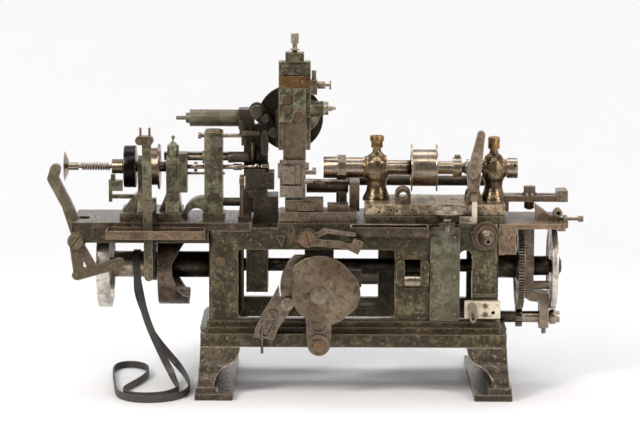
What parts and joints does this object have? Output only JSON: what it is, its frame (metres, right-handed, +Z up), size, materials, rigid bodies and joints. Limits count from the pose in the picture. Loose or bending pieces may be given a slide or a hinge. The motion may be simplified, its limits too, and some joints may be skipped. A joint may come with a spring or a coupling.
{
  "type": "screw making lathe",
  "caption": "Early automatic screw making lathe with a sliding headstock, vertical tool column, threading attachment, front plate cam, cast bed and flat belt",
  "frame": {"origin": "midway between the four foot bolt holes, on the underside of the feet", "axes": "+X along the spindle towards the feed end, +Y away from the operator, +Z up"},
  "size_m": [0.8117, 0.3192, 0.539],
  "materials": {
    "dark_casting": "worn dark green grey paint over cast iron, rusty at the edges",
    "grey_casting": "worn grey green paint with bare brown edges",
    "black_casting": "oiled dark casting",
    "pale_casting": "light grey green paint, rubbed",
    "rusty_plate": "brown patina on worn paint",
    "worn_steel": "turned steel with a warm brown patina",
    "brass": "aged brass and bronze",
    "copper_screw": "copper brown screw heads",
    "cream_paint": "cream enamel, slightly worn",
    "belt": "dark grey brown flat belt"
  },
  "bodies": {
    "base": {"left_foot": "dark_casting", "right_foot": "dark_casting", "main_casting": "dark_casting", "left_table": "dark_casting", "drip_tray": "rusty_plate", "attachment_stand": "grey_casting", "column": "grey_casting", "guide_rods": "worn_steel", "tool_frame": "black_casting", "overarm_tube": "pale_casting", "slide_housing": "grey_casting", "slide_cap": "brass", "height_screw": "worn_steel", "tool_rest": "dark_casting", "cross_bearing": "black_casting", "side_cover": "pale_casting", "fixing_screws": "copper_screw", "oil_gutter": "grey_casting", "latch_block": "cream_paint", "index_pointer": "cream_paint", "crank_hub": "rusty_plate", "right_shelf": "grey_casting", "right_bracket": "pale_casting", "support_bar": "black_casting", "drive_belt": "belt"},
    "head": {"headstock": "grey_casting", "oil_cups": "brass", "bearing_bushes": "brass", "feed_arm": "grey_casting"},
    "dish": {"clamp_knob": "worn_steel"},
    "main_spindle": {"spindle": "worn_steel", "spindle_pulley": "worn_steel"},
    "spool": {"closing_sleeve": "worn_steel"},
    "closer": {"collet_lever": "worn_steel"},
    "slide": {"tool_slide": "worn_steel", "tool_blocks": "worn_steel"},
    "thumb": {"thumb_screw": "worn_steel"},
    "micrometer": {"micrometer_screw": "worn_steel"},
    "cams": {"camshaft": "worn_steel", "bell_cam": "worn_steel", "left_wheel": "worn_steel", "right_wheel": "worn_steel", "cam_gear": "black_casting"},
    "pinion": {"pinion_shaft": "worn_steel"},
    "cross": {"cross_shaft": "worn_steel", "front_cam": "worn_steel"},
    "rocker": {"rocker_arm": "rusty_plate"},
    "roller": {"rocker_roller": "worn_steel"},
    "upper_lever": {"centre_lever": "grey_casting"},
    "short_shaft": {"front_shaft": "worn_steel"},
    "threader": {"threading_spindle": "worn_steel"},
    "pusher": {"push_rod": "worn_steel", "return_spring": "worn_steel"},
    "shifter": {"shifter_lever": "grey_casting"},
    "hand": {"hand_lever": "grey_casting"},
    "disc": {"overhead_disc": "worn_steel"},
    "crank": {"crank_spindle": "worn_steel"},
    "hook": {"latch_hook": "worn_steel"},
    "lifter": {"lift_rod": "rusty_plate"}
  },
  "joints": [
    {"name": "head_slide", "type": "slide", "parent": "base", "child": "head", "axis": [1, 0, 0], "range_m": [-0.003, 0.016]},
    {"name": "spindle_turn", "type": "hinge", "parent": "head", "child": "main_spindle", "pos_m": [0.1, -0.01, 0.333], "axis": [1, 0, 0], "continuous": true},
    {"name": "spool_slide", "type": "slide", "parent": "head", "child": "spool", "axis": [1, 0, 0], "range_m": [-0.004, 0.004]},
    {"name": "closer_swing", "type": "hinge", "parent": "head", "child": "closer", "pos_m": [0.181, -0.038, 0.2933], "axis": [0, 1, 0], "range_deg": [-5, 5]},
    {"name": "dish_turn", "type": "hinge", "parent": "base", "child": "dish", "pos_m": [0.139, -0.098, 0.277], "axis": [0, 0, 1], "continuous": true},
    {"name": "tool_feed", "type": "slide", "parent": "base", "child": "slide", "axis": [0, 0, 1], "range_m": [-0.002, 0.012]},
    {"name": "thumb_turn", "type": "hinge", "parent": "base", "child": "thumb", "pos_m": [-0.045, -0.044, 0.462], "axis": [1, 0, 0], "continuous": true},
    {"name": "micrometer_turn", "type": "hinge", "parent": "base", "child": "micrometer", "pos_m": [-0.04, -0.045, 0.427], "axis": [1, 0, 0], "continuous": true},
    {"name": "camshaft_turn", "type": "hinge", "parent": "base", "child": "cams", "pos_m": [0, 0, 0.181], "axis": [1, 0, 0], "continuous": true},
    {"name": "pinion_turn", "type": "hinge", "parent": "base", "child": "pinion", "pos_m": [0.25, 0, 0.10148], "axis": [1, 0, 0], "continuous": true},
    {"name": "cross_turn", "type": "hinge", "parent": "base", "child": "cross", "pos_m": [-0.052, -0.1, 0.158], "axis": [0, 1, 0], "continuous": true},
    {"name": "rocker_swing", "type": "hinge", "parent": "base", "child": "rocker", "pos_m": [-0.052, -0.118, 0.08], "axis": [0, 1, 0], "range_deg": [-4, 4]},
    {"name": "roller_turn", "type": "hinge", "parent": "rocker", "child": "roller", "pos_m": [-0.099, -0.128, 0.143], "axis": [0, 1, 0], "continuous": true},
    {"name": "upper_lever_swing", "type": "hinge", "parent": "base", "child": "upper_lever", "pos_m": [-0.069, -0.112, 0.24], "axis": [0, 1, 0], "range_deg": [-3, 3]},
    {"name": "short_shaft_turn", "type": "hinge", "parent": "base", "child": "short_shaft", "pos_m": [0.088, -0.084, 0.171], "axis": [1, 0, 0], "continuous": true},
    {"name": "threader_turn", "type": "hinge", "parent": "base", "child": "threader", "pos_m": [-0.313, -0.01, 0.333], "axis": [1, 0, 0], "continuous": true},
    {"name": "rod_push", "type": "slide", "parent": "base", "child": "pusher", "axis": [1, 0, 0], "range_m": [0, 0.008], "stiffness_N_per_m": 600, "deforming": ["return_spring"]},
    {"name": "shifter_swing", "type": "hinge", "parent": "base", "child": "shifter", "pos_m": [-0.307, -0.093, 0.282], "axis": [0, 1, 0], "range_deg": [-4, 4]},
    {"name": "hand_swing", "type": "hinge", "parent": "base", "child": "hand", "pos_m": [-0.417, -0.06, 0.23], "axis": [0, 1, 0], "range_deg": [-10, 0]},
    {"name": "disc_turn", "type": "hinge", "parent": "base", "child": "disc", "pos_m": [-0.097, 0.022, 0.405], "axis": [0, 1, 0], "continuous": true},
    {"name": "crank_turn", "type": "hinge", "parent": "base", "child": "crank", "pos_m": [0.198, -0.1, 0.24], "axis": [0, 1, 0], "continuous": true},
    {"name": "hook_swing", "type": "hinge", "parent": "base", "child": "hook", "pos_m": [0.178, -0.094, 0.132], "axis": [0, 1, 0], "range_deg": [-15, 15]},
    {"name": "lift", "type": "slide", "parent": "base", "child": "lifter", "axis": [0, 0, 1], "range_m": [-0.004, 0.004]}
  ],
  "couplings": [
    {"joint": "spool_slide", "follows": "closer_swing", "m_per_rad": 0.0397},
    {"joint": "pinion_turn", "follows": "camshaft_turn", "ratio": -4.6},
    {"joint": "cross_turn", "follows": "camshaft_turn", "ratio": 1}
  ]
}
